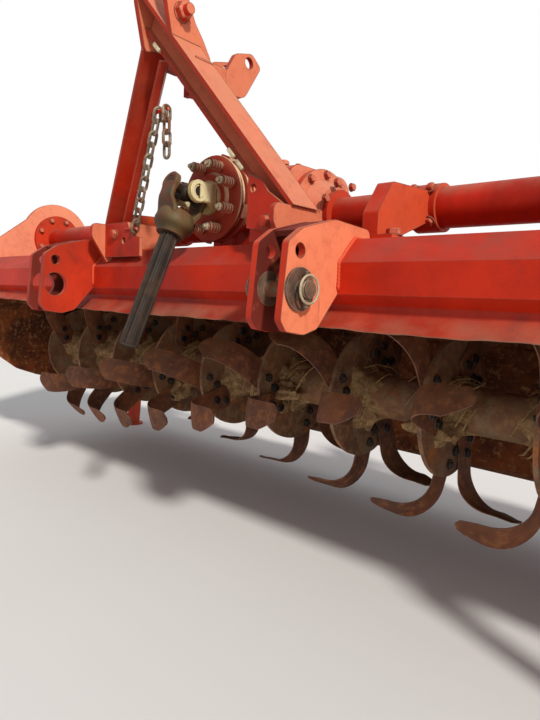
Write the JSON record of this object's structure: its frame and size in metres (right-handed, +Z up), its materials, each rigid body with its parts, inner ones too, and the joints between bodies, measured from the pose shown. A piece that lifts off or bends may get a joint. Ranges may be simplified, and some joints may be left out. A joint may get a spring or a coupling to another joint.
{
  "type": "rotary tiller",
  "caption": "Tractor-mounted rotary tiller with tined rotor under a sheet hood, A-frame mast, lower hitch clevises, hanging splined half shaft, rear apron and folding parking stands.",
  "frame": {"origin": "middle of the footprint of the bounding box, on the floor", "axes": "+X along the rotor to the driven side, +Y to the rear, away from the tractor, +Z up"},
  "size_m": [2.729, 1.0408, 1.354],
  "materials": {
    "paint": "sun-bleached orange red paint over steel",
    "housing": "painted casting",
    "stand_paint": "orange red paint, worn",
    "rusty_blade": "dark brown rust, worn by soil",
    "rusty_rotor": "brown rust with dried soil",
    "pin_steel": "rusty steel",
    "chain_steel": "zinc coated with rust",
    "greasy_steel": "dark greasy steel",
    "yoke_steel": "bare forging with overspray",
    "clutch_steel": "paint over pressed steel",
    "rod_steel": "plain steel",
    "spring_steel": "oiled spring steel"
  },
  "bodies": {
    "frame": {"main_beam": "paint", "hood_shell": "paint", "front_lip": "paint", "side_plate_left": "paint", "side_plate_right": "paint", "rotor_bearing": "housing", "drive_case": "paint", "drive_case_cover": "paint", "gearbox": "paint", "gearbox_cover_left": "paint", "gearbox_cover_right": "paint", "cross_tube_left": "paint", "cross_tube_right": "paint", "tube_clamps": "paint", "hitch_bracket_left": "paint", "hitch_bracket_right": "paint", "bracket_webs": "paint", "link_pin": "pin_steel", "mast_leg_left": "paint", "mast_leg_right": "paint", "mast_feet": "paint", "mast_head": "paint", "mast_lugs": "paint", "mast_chain": "chain_steel", "slip_clutch": "clutch_steel", "apron_hinge": "paint", "rod_brackets": "paint", "stand_brackets_front": "paint", "stand_brackets_rear": "paint", "input_yoke": "yoke_steel"},
    "rotor": {"rotor_shaft": "rusty_rotor", "tines_right_hand": "rusty_blade", "tines_left_hand": "rusty_blade"},
    "apron": {"apron": "paint", "apron_lugs": "paint"},
    "drive_shaft": {"joint_cross": "greasy_steel", "outer_yoke": "yoke_steel", "spline_shaft": "greasy_steel"},
    "rod_left": {"pressure_rod_left": "rod_steel", "rod_spring_left": "spring_steel"},
    "rod_right": {"pressure_rod_right": "rod_steel", "rod_spring_right": "spring_steel"},
    "stand_front_left": {"stand_front_left": "stand_paint"},
    "stand_front_right": {"stand_front_right": "stand_paint"},
    "stand_rear_left": {"stand_rear_left": "stand_paint"},
    "stand_rear_right": {"stand_rear_right": "stand_paint"}
  },
  "joints": [
    {"name": "rotor_spin", "type": "hinge", "parent": "frame", "child": "rotor", "pos_m": [-0.0105, 0.08039, 0.4], "axis": [1, 0, 0], "continuous": true},
    {"name": "apron_lift", "type": "hinge", "parent": "frame", "child": "apron", "pos_m": [-0.0105, 0.38641, 0.49356], "axis": [1, 0, 0], "range_deg": [0, 35]},
    {"name": "drive_shaft_swing", "type": "hinge", "parent": "frame", "child": "drive_shaft", "pos_m": [-0.0105, -0.35461, 0.872], "axis": [-1, 0, 0], "range_deg": [0, 70]},
    {"name": "rod_swing_left", "type": "hinge", "parent": "apron", "child": "rod_left", "pos_m": [-0.6305, 0.50039, 0.35], "axis": [1, 0, 0], "range_deg": [-22, 0]},
    {"name": "rod_swing_right", "type": "hinge", "parent": "apron", "child": "rod_right", "pos_m": [0.6095, 0.50039, 0.35], "axis": [1, 0, 0], "range_deg": [-22, 0]},
    {"name": "stand_front_left_fold", "type": "hinge", "parent": "frame", "child": "stand_front_left", "pos_m": [-1.3185, -0.42461, 0.6], "axis": [-1, 0, 0], "range_deg": [0, 110]},
    {"name": "stand_front_right_fold", "type": "hinge", "parent": "frame", "child": "stand_front_right", "pos_m": [1.2975, -0.42461, 0.6], "axis": [-1, 0, 0], "range_deg": [0, 110]},
    {"name": "stand_rear_left_fold", "type": "hinge", "parent": "frame", "child": "stand_rear_left", "pos_m": [-1.3185, 0.44039, 0.48], "axis": [1, 0, 0], "range_deg": [0, 110]},
    {"name": "stand_rear_right_fold", "type": "hinge", "parent": "frame", "child": "stand_rear_right", "pos_m": [1.2975, 0.44039, 0.48], "axis": [1, 0, 0], "range_deg": [0, 110]}
  ],
  "couplings": [
    {"joint": "rod_swing_left", "follows": "apron_lift", "ratio": -0.6031},
    {"joint": "rod_swing_right", "follows": "apron_lift", "ratio": -0.6031}
  ]
}
